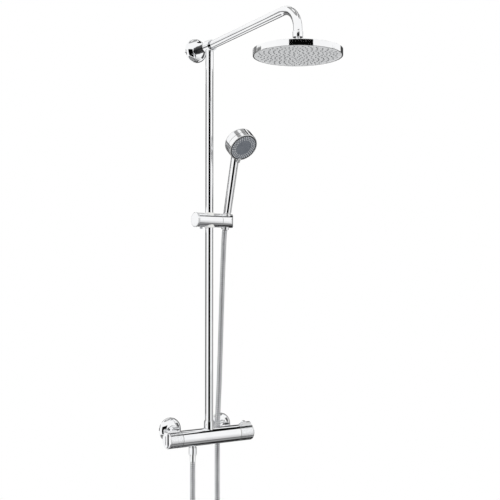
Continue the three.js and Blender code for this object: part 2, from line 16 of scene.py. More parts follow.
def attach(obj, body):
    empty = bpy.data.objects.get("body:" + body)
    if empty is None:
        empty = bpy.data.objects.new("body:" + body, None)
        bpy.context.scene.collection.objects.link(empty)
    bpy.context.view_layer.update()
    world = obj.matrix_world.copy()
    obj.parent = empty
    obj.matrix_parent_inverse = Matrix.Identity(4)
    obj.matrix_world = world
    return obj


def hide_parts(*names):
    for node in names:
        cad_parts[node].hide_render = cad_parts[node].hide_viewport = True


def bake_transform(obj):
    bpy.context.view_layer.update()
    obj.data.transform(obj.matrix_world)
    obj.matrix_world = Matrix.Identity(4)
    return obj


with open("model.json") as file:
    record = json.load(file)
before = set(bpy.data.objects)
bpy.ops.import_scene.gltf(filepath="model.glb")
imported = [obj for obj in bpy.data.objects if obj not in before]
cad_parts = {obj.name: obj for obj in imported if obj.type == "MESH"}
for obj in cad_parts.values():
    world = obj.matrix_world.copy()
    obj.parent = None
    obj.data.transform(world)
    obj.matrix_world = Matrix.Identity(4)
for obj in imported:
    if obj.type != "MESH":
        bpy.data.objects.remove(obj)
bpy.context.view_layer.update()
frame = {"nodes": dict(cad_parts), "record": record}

MM = 0.001

# Driving sizes, as in the CAD model, in millimetres.
INLET_X = 75
RISER_OUT = 66
BAR_Z = -14
BAR_R = 20.5
BAR_SEAM = 85
FLOW_END = 122.5
TEMP_END = 126
OUTLET_X = -47.7
RISER_R = 10
TOP_Z = 964.5
TEE_R = 14.5
ARM_R = 10
ARM_RISE = math.radians(3.54)
ARM_REACH = 357.5
BEND_R = 52
LEG_END_Z = 914
BALL_Z = 898
BALL_R = 9.5
SPRAY_R = 100
SPRAY_BOTTOM = -28  # from the ball's centre
SPRAY_HEIGHT = 14
SLIDER_Z = 524.5
SLIDER_R = 17.25
HOLDER_SEAM = 31
HANDSET_X = 51
LEAN = math.radians(14.3)
DRUM_TURN = math.radians(-64)
DRUM_OUT = 30.9
DRUM_UP = 191.4
DRUM_R = 37.5
TAB_TURN = math.radians(8)
HOSE_R = 6.5
GAP = 0.3  # between a turned piece and the seat or bush it sits in

# Frames that the groups of pieces are made in.
ALONG_X = Matrix.Rotation(math.pi / 2, 4, "Y")
ALONG_Y = Matrix.Rotation(-math.pi / 2, 4, "X")
OUT_OF_WALL = Matrix.Rotation(math.pi / 2, 4, "X")


def shift(x=0, y=0, z=0):
    return Matrix.Translation((x, y, z))


def wall(x, z):
    """Z runs out of the wall, Y up."""
    return shift(x, 0, z) @ OUT_OF_WALL


VALVE = shift(0, -RISER_OUT, BAR_Z)
FLOW = VALVE @ Matrix.Rotation(math.pi, 4, "Z")
TEMPERATURE = VALVE @ Matrix.Rotation(TAB_TURN, 4, "X")
TEE = shift(0, -RISER_OUT, TOP_Z) @ OUT_OF_WALL
SPRAY = shift(0, -RISER_OUT - ARM_REACH, BALL_Z)
SLIDER = shift(0, -RISER_OUT, SLIDER_Z)
HANDSET = SLIDER @ shift(HANDSET_X) @ Matrix.Rotation(LEAN, 4, "X")
DRUM = HANDSET @ shift(0, -DRUM_OUT, DRUM_UP) @ Matrix.Rotation(DRUM_TURN, 4, "X")


# ---- Camera: solved from the sizes above, metres and millimetres of lens ----

CAMERA_PLACE = (-1.3031, -2.0616, 0.374)
CAMERA_YAW = math.radians(35.6)
CAMERA_PITCH = math.radians(1.82)
CAMERA_LENS = 68.43
CAMERA_SENSOR = 36


def make_camera():
    camera = bpy.data.objects.new("camera", bpy.data.cameras.new("camera"))
    bpy.context.scene.collection.objects.link(camera)
    camera.data.sensor_width = CAMERA_SENSOR
    camera.data.lens = CAMERA_LENS
    camera.data.clip_end = 50
    camera.location = CAMERA_PLACE
    camera.rotation_euler = (math.pi / 2 + CAMERA_PITCH, 0, -CAMERA_YAW)
    bpy.context.scene.camera = camera


# ---- Materials ----


PATTERN_LOW = 0.3  # the part of a pattern's 0 to 1 range that its values fill
PATTERN_HIGH = 0.7


class Recipe:
    """A node material built round one Principled shader, with object coordinates in metres."""

    def __init__(self, name, base, metallic, roughness, **constant):
        self.material = bpy.data.materials.new(name)
        self.material.use_nodes = True
        self.tree = self.material.node_tree
        self.shader = self.tree.nodes["Principled BSDF"]
        self.shader.inputs["Base Color"].default_value = (*base, 1)
        self.shader.inputs["Metallic"].default_value = metallic
        self.shader.inputs["Roughness"].default_value = roughness
        for socket, value in constant.items():
            self.shader.inputs[socket.replace("_", " ")].default_value = value
        self.place = self.tree.nodes.new("ShaderNodeTexCoord").outputs["Object"]

    def link(self, a, b):
        self.tree.links.new(a, b)

    def noise(self, scale, detail=3, roughness=0.55):
        node = self.tree.nodes.new("ShaderNodeTexNoise")
        node.inputs["Scale"].default_value = scale
        node.inputs["Detail"].default_value = detail
        node.inputs["Roughness"].default_value = roughness
        self.link(self.place, node.inputs["Vector"])
        return node.outputs["Fac"]

    def cells(self, scale):
        node = self.tree.nodes.new("ShaderNodeTexVoronoi")
        node.inputs["Scale"].default_value = scale
        self.link(self.place, node.inputs["Vector"])
        return node.outputs["Distance"]

    def colours(self, value, dark, light):
        node = self.tree.nodes.new("ShaderNodeValToRGB")
        node.color_ramp.elements[0].position = PATTERN_LOW
        node.color_ramp.elements[0].color = (*dark, 1)
        node.color_ramp.elements[1].position = PATTERN_HIGH
        node.color_ramp.elements[1].color = (*light, 1)
        self.link(value, node.inputs["Fac"])
        self.link(node.outputs["Color"], self.shader.inputs["Base Color"])

    def rough(self, value, low, high):
        node = self.tree.nodes.new("ShaderNodeMapRange")
        node.inputs["From Min"].default_value = PATTERN_LOW
        node.inputs["From Max"].default_value = PATTERN_HIGH
        node.inputs["To Min"].default_value = low
        node.inputs["To Max"].default_value = high
        self.link(value, node.inputs["Value"])
        self.link(node.outputs["Result"], self.shader.inputs["Roughness"])

    def bump(self, value, strength, distance):
        node = self.tree.nodes.new("ShaderNodeBump")
        node.inputs["Strength"].default_value = strength
        node.inputs["Distance"].default_value = distance
        self.link(value, node.inputs["Height"])
        self.link(node.outputs["Normal"], self.shader.inputs["Normal"])


def chrome():
    """Bright plate with a faint polish haze and tiny orange peel."""
    m = Recipe("chrome", (0.93, 0.935, 0.945), 1, 0.05)
    m.colours(m.noise(14), (0.90, 0.905, 0.92), (0.955, 0.96, 0.965))
    m.rough(m.noise(60, 5), 0.02, 0.06)
    m.bump(m.noise(25, 1), 0.006, 0.0003)
    return m.material


def textured_chrome():
    """The handles' grips: the same plate over a finely dimpled surface."""
    m = Recipe("textured_chrome", (0.86, 0.865, 0.88), 1, 0.12)
    m.colours(m.noise(420, 2), (0.76, 0.77, 0.79), (0.95, 0.955, 0.96))
    m.rough(m.noise(300, 4), 0.08, 0.2)
    m.bump(m.cells(900), 0.12, 0.0003)
    return m.material


def painted_groove_shade():
    """Painted shade: the bottom of the hose's grooves is coloured dark to stand in for the shade that falls
    there.
    """
    m = Recipe("painted_groove_shade", (0.10, 0.105, 0.11), 1, 0.35)
    m.colours(m.noise(200, 4), (0.06, 0.062, 0.066), (0.14, 0.145, 0.15))
    m.rough(m.noise(300, 4), 0.28, 0.45)
    m.bump(m.noise(700, 2), 0.05, 0.0002)
    return m.material


def hose_metal():
    """Interlocked chromed strip: a little greyer and more worn on its ribs."""
    m = Recipe("hose_metal", (0.82, 0.83, 0.85), 1, 0.12)
    m.colours(m.noise(90, 4), (0.74, 0.75, 0.77), (0.88, 0.885, 0.90))
    m.rough(m.noise(300, 4), 0.06, 0.18)
    m.bump(m.noise(500, 2), 0.03, 0.0002)
    return m.material


def brass():
    m = Recipe("brass", (0.78, 0.60, 0.32), 1, 0.3)
    m.colours(m.noise(50, 4), (0.66, 0.48, 0.24), (0.84, 0.67, 0.38))
    m.rough(m.noise(220, 4), 0.22, 0.42)
    m.bump(m.noise(1100, 3), 0.08, 0.0003)
    return m.material


def steel():
    """Zinc-plated steel with a spangled, slightly dull surface."""
    m = Recipe("steel", (0.66, 0.67, 0.69), 1, 0.32)
    m.colours(m.cells(420), (0.58, 0.59, 0.61), (0.74, 0.75, 0.76))
    m.rough(m.noise(160, 4), 0.24, 0.42)
    m.bump(m.noise(900, 3), 0.06, 0.0003)
    return m.material


def rubber():
    m = Recipe("rubber", (0.03, 0.03, 0.03), 0, 0.75)
    m.colours(m.noise(120, 5), (0.018, 0.018, 0.019), (0.045, 0.045, 0.047))
    m.rough(m.noise(260, 4), 0.6, 0.85)
    m.bump(m.noise(1500, 4), 0.25, 0.0003)
    return m.material


def nozzle_rubber():
    """Soft grey silicone of the spray nozzles."""
    m = Recipe("nozzle_rubber", (0.22, 0.225, 0.235), 0, 0.5)
    m.colours(m.noise(200, 4), (0.18, 0.185, 0.19), (0.26, 0.265, 0.275))
    m.rough(m.noise(500, 3), 0.4, 0.6)
    m.bump(m.noise(1800, 3), 0.15, 0.0002)
    return m.material


# Also used on the stay, where its black is a painted reflection of dark surroundings in chrome.
def black_plastic():
    m = Recipe("black_plastic", (0.012, 0.012, 0.013), 0, 0.16, IOR=1.42)
    m.colours(m.noise(80, 4), (0.008, 0.008, 0.009), (0.02, 0.02, 0.022))
    m.rough(m.noise(240, 4), 0.1, 0.24)
    m.bump(m.noise(1200, 3), 0.06, 0.0002)
    return m.material


def white_plastic():
    m = Recipe("white_plastic", (0.83, 0.83, 0.81), 0, 0.42)
    m.colours(m.noise(70, 4), (0.79, 0.79, 0.77), (0.87, 0.87, 0.855))
    m.rough(m.noise(300, 4), 0.34, 0.5)
    m.bump(m.noise(1400, 4), 0.1, 0.0003)
    return m.material


def grey_face():
    """Satin moulded plate between the rain nozzles."""
    m = Recipe("grey_face", (0.78, 0.79, 0.80), 0, 0.34)
    m.colours(m.noise(45, 5), (0.75, 0.76, 0.77), (0.82, 0.83, 0.84))
    m.rough(m.noise(260, 4), 0.26, 0.44)
    m.bump(m.noise(1600, 4), 0.12, 0.0003)
    return m.material


def dark_face():
    m = Recipe("dark_face", (0.135, 0.15, 0.175), 0, 0.3)
    m.colours(m.noise(60, 5), (0.115, 0.128, 0.15), (0.16, 0.175, 0.20))
    m.rough(m.noise(300, 4), 0.22, 0.38)
    m.bump(m.noise(1500, 4), 0.08, 0.0003)
    return m.material


def nozzle_white():
    m = Recipe("nozzle_white", (0.74, 0.75, 0.76), 0, 0.45)
    m.colours(m.noise(300, 4), (0.68, 0.69, 0.70), (0.80, 0.81, 0.82))
    m.rough(m.noise(700, 3), 0.38, 0.55)
    m.bump(m.noise(1800, 3), 0.1, 0.0002)
    return m.material


MATERIALS = {
    make.__name__: make()
    for make in (
        chrome,
        textured_chrome,
        hose_metal,
        painted_groove_shade,
        brass,
        steel,
        rubber,
        nozzle_rubber,
        black_plastic,
        white_plastic,
        grey_face,
        dark_face,
        nozzle_white,
    )
}


# ---- Mesh tools ----

ROUND = 72  # sides of a small turned piece
WIDE = 112  # sides of a stout turned piece
ON_AXIS = 1e-6  # a point nearer than this lies on the axis it turns about
STRAIGHT = 2.95  # radians; an outline's corner flatter than this isn't rounded


def mesh_object(name, points, faces, place):
    mesh = bpy.data.meshes.new(name)
    mesh.from_pydata([tuple(p) for p in points], [], faces)
    mesh.transform(place)
    work = bmesh.new()
    work.from_mesh(mesh)
    bmesh.ops.recalc_face_normals(work, faces=work.faces)
    work.to_mesh(mesh)
    work.free()
    piece = bpy.data.objects.new(name, mesh)
    bpy.context.scene.collection.objects.link(piece)
    return piece


def softened(outline, radius=0.4, steps=3):
    """The closed outline with its corners rounded, apart from those on the axis."""
    corners = [Vector(p) for p in outline]
    result = []
    for i, corner in enumerate(corners):
        before = corners[i - 1] - corner
        after = corners[(i + 1) % len(corners)] - corner
        if corner.x < ON_AXIS or before.angle(after) > STRAIGHT:
            result.append(corner)
            continue
        reach = min(radius, before.length * 0.4, after.length * 0.4)
        start = corner + before.normalized() * reach
        end = corner + after.normalized() * reach
        for k in range(steps + 1):
            t = k / steps
            result.append(start.lerp(corner, t).lerp(corner.lerp(end, t), t))
    return result


def turned(name, outline, place=Matrix(), sides=ROUND, soft=0.4):
    """A closed outline of (radius, height) points turned about the place's Z axis."""
    profile = softened(outline, soft) if soft else [Vector(p) for p in outline]
    points = []
    rings = []
    for radius, height in profile:
        if radius < ON_AXIS:
            rings.append([len(points)])
            points.append((0, 0, height))
            continue
        rings.append(list(range(len(points), len(points) + sides)))
        for k in range(sides):
            angle = 2 * math.pi * k / sides
            points.append((radius * math.cos(angle), radius * math.sin(angle), height))
    faces = []
    for i, ring in enumerate(rings):
        other = rings[(i + 1) % len(rings)]
        for k in range(sides):
            n = (k + 1) % sides
            if len(ring) == 1 and len(other) == 1:
                break
            if len(ring) == 1:
                faces.append((ring[0], other[n], other[k]))
            elif len(other) == 1:
                faces.append((ring[k], ring[n], other[0]))
            else:
                faces.append((ring[k], ring[n], other[n], other[k]))
    return mesh_object(name, points, faces, place)


def rod(name, radius, z0, z1, place=Matrix(), sides=ROUND, soft=0):
    return turned(name, [(0, z0), (radius, z0), (radius, z1), (0, z1)], place, sides, soft)


def prism(name, outline, z0, z1, place=Matrix()):
    count = len(outline)
    points = [(x, y, z0) for x, y in outline] + [(x, y, z1) for x, y in outline]
    faces = [tuple(range(count)), tuple(range(count, 2 * count))]
    for i in range(count):
        n = (i + 1) % count
        faces.append((i, n, n + count, i + count))
    return mesh_object(name, points, faces, place)


def block(name, low, high, place=Matrix()):
    outline = [(low[0], low[1]), (high[0], low[1]), (high[0], high[1]), (low[0], high[1])]
    return prism(name, outline, low[2], high[2], place)


def arc(radius, start, end, steps, centre=(0, 0)):
    """Points on an arc; angles in degrees."""
    angles = [math.radians(start + (end - start) * k / steps) for k in range(steps + 1)]
    return [(centre[0] + radius * math.cos(a), centre[1] + radius * math.sin(a)) for a in angles]


def swept(name, path, radii, sides=ROUND, place=Matrix()):
    """A round tube along a path, its frame carried along without twist, closed at both ends."""
    line = [Vector(p) for p in path]
    last = len(line) - 1
    tangents = [(line[min(i + 1, last)] - line[max(i - 1, 0)]).normalized() for i in range(last + 1)]
    side = tangents[0].orthogonal().normalized()
    points = []
    for point, tangent, radius in zip(line, tangents, radii):
        side = (side - tangent * side.dot(tangent)).normalized()
        up = tangent.cross(side)
        for k in range(sides):
            angle = 2 * math.pi * k / sides
            points.append(point + (side * math.cos(angle) + up * math.sin(angle)) * radius)
    faces = [tuple(range(sides)), tuple(range(len(points) - sides, len(points)))]
    for i in range(last):
        for k in range(sides):
            n = (k + 1) % sides
            faces.append((i * sides + k, i * sides + n, (i + 1) * sides + n, (i + 1) * sides + k))
    return mesh_object(name, points, faces, place)


def applied(piece):
    """Bakes the piece's modifiers into its mesh."""
    graph = bpy.context.evaluated_depsgraph_get()
    mesh = bpy.data.meshes.new_from_object(piece.evaluated_get(graph))
    piece.modifiers.clear()
    piece.data = mesh
    return piece


def boolean(piece, others, operation):
    for other in others:
        change = piece.modifiers.new(operation, "BOOLEAN")
        change.object = other
        change.operation = operation
        change.solver = "EXACT"
    applied(piece)
    for other in others:
        bpy.data.objects.remove(other)
    return piece


def cut(piece, *others):
    return boolean(piece, others, "DIFFERENCE")


def join(piece, *others):
    return boolean(piece, others, "UNION")


def common(piece, *others):
    return boolean(piece, others, "INTERSECT")


def bevelled(piece, width=0.4, segments=3, angle=30):
    change = piece.modifiers.new("bevel", "BEVEL")
    change.width = width
    change.segments = segments
    change.limit_method = "ANGLE"
    change.angle_limit = math.radians(angle)
    return applied(piece)


def shaded(piece, angle=32):
    """Smooth faces with sharp edges; flat faces keep their own direction."""
    piece.data.polygons.foreach_set("use_smooth", [True] * len(piece.data.polygons))
    piece.data.set_sharp_from_angle(angle=math.radians(angle))
    change = piece.modifiers.new("normals", "WEIGHTED_NORMAL")
    change.keep_sharp = True
    change.weight = 100
    return applied(piece)


def finished(piece, body, slot, *nodes, material=None):
    """Scales the piece to metres, shades and paints it, and lets it ride on its body in place of the nodes."""
    piece.data.transform(Matrix.Scale(MM, 4))
    shaded(piece)
    piece.data.materials.clear()
    piece.data.materials.append(MATERIALS[material or slot])
    if nodes:
        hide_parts(*nodes)
    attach(piece, body)
    return piece


# ---- Hose: the cord comes first ----

# Middle line of the hose in metres, from the valve's ferrule round the loop to the hand spray's nut.
HOSE_ROUTE = [
    (-0.0477, -0.066, -0.0733),
    (-0.0477, -0.066, -0.120),
    (-0.0477, -0.066, -0.180),
    (-0.0478, -0.066, -0.240),
    (-0.049, -0.0665, -0.300),
    (-0.0514, -0.0674, -0.360),
    (-0.0528, -0.068, -0.415),
    (-0.0453, -0.0651, -0.449),
    (-0.0253, -0.0572, -0.4705),
    (0.0016, -0.0465, -0.4785),
    (0.0286, -0.0358, -0.4705),
    (0.0486, -0.0279, -0.449),
    (0.0561, -0.025, -0.415),
    (0.0547, -0.0256, -0.360),
    (0.0523, -0.0265, -0.300),
    (0.051, -0.027, -0.240),
    (0.051, -0.0268, -0.180),
    (0.051, -0.0265, -0.110),
    (0.051, -0.0266, -0.050),
    (0.0509, -0.027, -0.008),
    (0.0511, -0.0294, 0.040),
    (0.0514, -0.033, 0.090),
    (0.0516, -0.0388, 0.196),
    (0.0516, -0.0456, 0.324),
    (0.0513, -0.0532, 0.440),
    (0.051, -0.0585, 0.4949),
    (0.051, -0.0605, 0.5029),
]
HOSE_HIDDEN = 0.052  # stretch that runs on up inside the hollow nut and handle
SWIVEL_Z = (0.225, 0.335)  # the hose's middle length runs between these heights
TILT_LENGTH = 0.15  # height above the middle length's top of the end point given to the third length
STRETCH_SLOPE = 3.08  # how far across towards the other leg the first length's given end lies, for each metre upwards
HOSE_SIDES = 24
RIB_PITCH = 0.0052
RIB_STEPS = 8
GROOVE_DEPTH = 0.0011


def smooth_line(points, per_span=40):
    """Centripetal Catmull-Rom line through the points."""
    p = [Vector(x) for x in points]
    p = [p[0] * 2 - p[1]] + p + [p[-1] * 2 - p[-2]]
    line = []
    for a, b, c, d in zip(p, p[1:], p[2:], p[3:]):
        s0, s1, s2 = (math.sqrt((v - u).length) for u, v in ((a, b), (b, c), (c, d)))
        out = ((b - a) / s0 - (c - a) / (s0 + s1) + (c - b) / s1) * s1
        into = ((c - b) / s1 - (d - b) / (s1 + s2) + (d - c) / s2) * s1
        for k in range(per_span):
            t = k / per_span
            line.append(
                b * (2 * t**3 - 3 * t**2 + 1)
                + out * (t**3 - 2 * t**2 + t)
                + c * (3 * t**2 - 2 * t**3)
                + into * (t**3 - t**2)
            )
    line.append(p[-2])
    return line


def evenly(line, step):
    """The same line with points a step apart."""
    points = np.array(line)
    gaps = np.linalg.norm(np.diff(points, axis=0), axis=1)
    along = np.concatenate([[0], np.cumsum(gaps)])
    count = round(along[-1] / step)
    marks = np.linspace(0, along[-1], count + 1)
    return [Vector([np.interp(m, along, points[:, axis]) for axis in range(3)]) for m in marks], along[-1]


def ribbed(count):
    """Radius at each ring in metres: rounded ribs with a narrow groove between them."""
    waves = [0.5 + 0.5 * math.cos(2 * math.pi * i / RIB_STEPS) for i in range(count)]
    return [HOSE_R * MM - GROOVE_DEPTH * wave**4 for wave in waves]


def hose_part(name, line, start, end):
    """One length of the hose along the line."""
    path, length = evenly(line, RIB_PITCH / RIB_STEPS)
    hose = swept(name, path, ribbed(len(path)), HOSE_SIDES)
    hose.data.polygons.foreach_set("use_smooth", [True] * len(hose.data.polygons))
    hose.data.materials.append(MATERIALS["hose_metal"])
    hose.data.materials.append(MATERIALS["painted_groove_shade"])
    # the two rings at each groove's bottom get the dark material: painted shade in the grooves
    for face in hose.data.polygons[2:]:
        step = (face.index - 2) // HOSE_SIDES % RIB_STEPS
        face.material_index = 1 if step in (0, RIB_STEPS - 1) else 0
    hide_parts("hose")
    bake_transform(hose)
    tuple(start)
    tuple(end)


def make_hose():
    """Three lengths end to end, split at the two heights in SWIVEL_Z; the third runs on out of sight inside the
    hand spray."""
    line = smooth_line(HOSE_ROUTE)
    axis = Vector((0, -math.sin(LEAN), math.cos(LEAN)))
    line += [line[-1] + axis * HOSE_HIDDEN * k / 20 for k in range(1, 21)]
    low = next(i for i, p in enumerate(line) if p.x > 0.04 and p.z > SWIVEL_Z[0])
    high = next(i for i, p in enumerate(line) if p.x > 0.04 and p.z > SWIVEL_Z[1])
    valve_end = Vector(HOSE_ROUTE[0])
    across = line[low] - valve_end
    across.z = 0
    tilted = (across.normalized() * STRETCH_SLOPE + Vector((0, 0, 1))).normalized()
    reach = (line[low] - valve_end).dot(tilted)
    hose_part("hose_main", line[: low + 1], valve_end, valve_end + tilted * reach)
    hose_part("hose_middle", line[low : high + 1], line[low], line[high])
    near_nut = line[high] + Vector((0, 0, TILT_LENGTH))
    hose_part("hose_top", line[high:], line[high], near_nut)


# ---- Wall side ----


def rose_outline(hole):
    """Hollow domed cover, its rim flat on the wall."""
    dome = []
    for k in range(15):
        t = math.radians(88) * k / 14
        dome.append((14.5 + 16 * math.cos(t) ** 1.4, 2.4 + 12.4 * math.sin(t)))
    return [(hole, 15), (hole, 11.5), (20, 9), (25.5, 4), (25.5, 0), (30.5, 0)] + dome


def hex_outline(across_flats, turn, soft):
    """Hexagon with its corners rounded to the radius `soft`."""
    out = (across_flats / 2 - soft) / math.cos(math.radians(30))
    points = []
    for angle in range(turn, turn + 360, 60):
        centre = (out * math.cos(math.radians(angle)), out * math.sin(math.radians(angle)))
        points += arc(soft, angle - 30, angle + 30, 12, centre)
    return points


def hex_nut(name, across_flats, z0, z1, place, turn=0, soft=1):
    """Hexagon with both ends chamfered, as a real nut's are."""
    nut = prism(name, hex_outline(across_flats, turn, soft), z0, z1, place)
    flat = across_flats / 2 * 1.01
    corner = across_flats / math.sqrt(3) + 0.2
    slope = (corner - flat) * 0.55
    turning = [(0, z0), (flat, z0), (corner, z0 + slope), (corner, z1 - slope), (flat, z1), (0, z1)]
    return common(nut, turned("chamfer", turning, place, soft=0))


UNION_R = 11.8
UNION_BORE = 6.5
DROP = -BAR_Z  # of the valve's axis below the inlets


def stadium(radius, length):
    return arc(radius, 0, 180, 24) + arc(radius, 180, 360, 24, (0, -length))


def make_inlet(side, x):
    place = wall(x, 0)
    low = place @ shift(0, -DROP)
    rose = turned(f"{side}_cover_rose", rose_outline(UNION_R + 0.6), place, WIDE, 0.5)
    finished(rose, "root", "chrome", f"{side}_wall_flange")
    union = turned(
        f"{side}_eccentric_union",
        [(0, -12), (10.3, -12), (10.3, 0.5), (UNION_R, 0.5), (UNION_R, 27), (0, 27)],
        place,
    )
    plate = bevelled(prism("plate", stadium(UNION_R, DROP), 26, 31, place), 0.5)
    outlet = rod("outlet", 11, 30, 36.5, low)
    join(union, plate, outlet)
    bore = rod("bore", UNION_BORE, -13, 28.5, place)
    passage = prism("passage", stadium(6, DROP), 27.5, 29.5, place)
    mouth = rod("mouth", UNION_BORE, 28, 37, low)
    finished(cut(union, bore, passage, mouth), "root", "chrome", f"{side}_wall_union")
    nut = hex_nut(f"{side}_hex_nut", 26.5, 32, 45, low, 30)
    cut(nut, rod("thread", 11.4, 31, 41.2, low), rod("neck", 9, 40, 46, low))
    finished(nut, "root", "chrome", f"{side}_union_nut")


# ---- Bar valve ----

NIPPLE_Y = 27
CARTRIDGE_BORE = 15.2
BORE_FLOOR = 51  # inner end of each cartridge's bore, from the middle of the bar


def make_valve_body():
    end = BAR_SEAM - 0.5
    across = VALVE @ ALONG_X
    outline = [
        (0, -BORE_FLOOR),
        (CARTRIDGE_BORE, -BORE_FLOOR),
        (CARTRIDGE_BORE, -end),
        (BAR_R, -end),
        (BAR_R, end),
        (CARTRIDGE_BORE, end),
        (CARTRIDGE_BORE, BORE_FLOOR),
        (0, BORE_FLOOR),
    ]
    body = turned("valve_bar", outline, across, WIDE, 0.35)
    extra = []
    holes = [rod("middle", 9, -BORE_FLOOR - 1, BORE_FLOOR + 1, across)]
    for side in (-1, 1):
        nipple = VALVE @ shift(side * INLET_X) @ ALONG_Y
        rim = NIPPLE_Y - 1.8
        collar = [(0, 16), (8.6, 16), (8.6, rim), (10.9, rim), (10.9, NIPPLE_Y), (0, NIPPLE_Y)]
        extra.append(turned("nipple", collar, nipple, soft=0.2))
        holes.append(rod("inlet", 6, 10, NIPPLE_Y + 1, nipple))
    extra.append(rod("boss", 7, 17, 36, VALVE))
    holes.append(rod("riser_bore", 4.8, 5, 37, VALVE))
    outlet = VALVE @ shift(OUTLET_X)
    stub = [(0, -34), (6.8, -34), (7.2, -33.4), (7.2, -22.8), (8.2, -22.8), (8.2, -17), (0, -17)]
    extra.append(turned("stub", stub, outlet, soft=0.2))
    holes.append(rod("outlet_bore", 4.6, -35, -5, outlet))
    finished(cut(join(body, *extra), *holes), "root", "chrome", "valve_body")


HUB_START = 94  # the handle's hub on its spindle
WEB_START = 110  # the web that joins the hub to the grip
WEB_END = 113.5


def handle_outline(end):
    """Grip open towards the bar, with a hub on the spindle and a mouth for the cap."""
    return [
        (4.4, HUB_START),
        (8, HUB_START),
        (8, WEB_START),
        (17.2, WEB_START),
        (17.2, BAR_SEAM + 0.5),
        (BAR_R, BAR_SEAM + 0.5),
        (BAR_R, end - 3.5),
        (17.4, end - 3.5),
        (17.4, WEB_END),
        (4.4, WEB_END),
    ]


def cap_outline(end):
    """Plug that fits the grip's mouth, with a chamfered disc outside."""
    return [
        (0, end - 6.5),
        (17.1, end - 6.5),
        (17.1, end - 3.2),
        (BAR_R, end - 3.2),
        (BAR_R, end - 1.6),
        (BAR_R - 1.6, end),
        (0, end),
    ]


def make_grip(name, nodes, body, place, end, seat, *windows):
    """A handle's grip and its cap, both cut away for the seat, which is given by two corners."""
    grip_node, cap_node = nodes
    across = place @ ALONG_X
    grip = turned(f"{name}_grip", handle_outline(end), across, WIDE, 0.35)
    cut(grip, block("seat", *seat, place), *windows)
    finished(grip, body, "chrome", grip_node, material="textured_chrome")
    cap = turned(f"{name}_cap", cap_outline(end), across, WIDE, 0.4)
    finished(cut(cap, block("seat", *seat, place)), body, "chrome", cap_node)


SEAT = 18.6  # height of the flat that the lever and the tab lie on
STRIP_HALF = 8
STRIP_TOP = 22.3
STRIP_START = 89.5
STRIP_THICK = 2.2
STRIP_LOW = -18  # lowest point of the part folded down over the end


def make_flow_handle():
    """Handle with a strip lever let into its top and folded down over its end, slotted in the fold."""
    seat = ((STRIP_START, -BAR_R, SEAT), (FLOW_END + 1, BAR_R, BAR_R + 1))
    body = "flow_control"
    make_grip("flow", ("flow_handle", "flow_handle_end_cap"), body, FLOW, FLOW_END, seat)
    inner = FLOW_END + GAP
    outer = inner + STRIP_THICK
    fold = [
        (STRIP_START + GAP, SEAT + GAP),
        (inner, SEAT + GAP),
        (inner, STRIP_LOW),
        (outer, STRIP_LOW),
        *arc(2.6, 0, 90, 8, (outer - 2.6, STRIP_TOP - 2.6)),
        *arc(2, 90, 170, 5, (STRIP_START + 2.3, STRIP_TOP - 2)),
    ]
    lever = prism("flow_lever", fold, -STRIP_HALF, STRIP_HALF, FLOW @ OUT_OF_WALL)
    facing = FLOW @ ALONG_X
    round_end = arc(STRIP_HALF, -90, 90, 20, (-STRIP_LOW - STRIP_HALF, 0))
    keep = [(-30, -STRIP_HALF - 1), *round_end, (-30, STRIP_HALF + 1)]
    common(lever, prism("tongue", keep, STRIP_START - 2, outer + 1, facing))
    slot = arc(1.7, -90, 90, 10, (9, 0)) + arc(1.7, 90, 270, 10, (-9, 0))
    cut(lever, prism("slot", slot, inner - 1, outer + 1, facing))
    finished(bevelled(lever, 0.5), body, "chrome", "flow_handle_lever")


TAB_START = 96
TAB_HALF = 4
TAB_TOP = 29.5
TAB_STEP = TAB_TOP - 3.3  # height of the step behind the tab's top
BUTTON_X = 92
BUTTON_HALF = (3.2, 3)
BUTTON_LOW = 15.2
WINDOW_HALF = (3.6, 3.4)


def make_temperature_handle():
    """Handle with a raised stepped tab and, in a window beside it, the button that stops it."""
    seat = ((TAB_START, -TAB_HALF - GAP, SEAT), (TEMP_END + 1, TAB_HALF + GAP, BAR_R + 1))
    wide, deep = WINDOW_HALF
    window = block("window", (BUTTON_X - wide, -deep, 14), (BUTTON_X + wide, deep, BAR_R + 1), TEMPERATURE)
    body = "temperature_control"
    pieces = ("temperature_handle", "temperature_end_cap")
    make_grip("temperature", pieces, body, TEMPERATURE, TEMP_END, seat, window)
    end = TEMP_END - 2
    side = [
        (TAB_START + GAP, SEAT + GAP),
        (end, SEAT + GAP),
        *arc(3, 0, 90, 8, (end - 3, TAB_STEP - 3)),
        *arc(1.5, 270, 190, 5, (TAB_START + 14, TAB_STEP + 1.5)),
        *arc(2, 10, 90, 6, (TAB_START + 10, TAB_TOP - 2)),
        *arc(3.5, 90, 175, 7, (TAB_START + 3.9, TAB_TOP - 3.5)),
    ]
    tab = prism("temperature_tab", side, -TAB_HALF, TAB_HALF, TEMPERATURE @ OUT_OF_WALL)
    finished(bevelled(tab, 0.7, 4), body, "chrome", "temperature_handle_lever")
    wide, deep = BUTTON_HALF
    low = (BUTTON_X - wide, -deep, BUTTON_LOW)
    button = block("safety_button", low, (BUTTON_X + wide, deep, BAR_R + 2.6), TEMPERATURE)
    finished(bevelled(button, 1, 4), "stop_button", "chrome", "temperature_stop_button")


SPRING_LOW = 8.9
SPRING_HIGH = 14.5
SPRING_TURNS = 3
SPRING_R = 2
SPRING_WIRE_R = 0.35


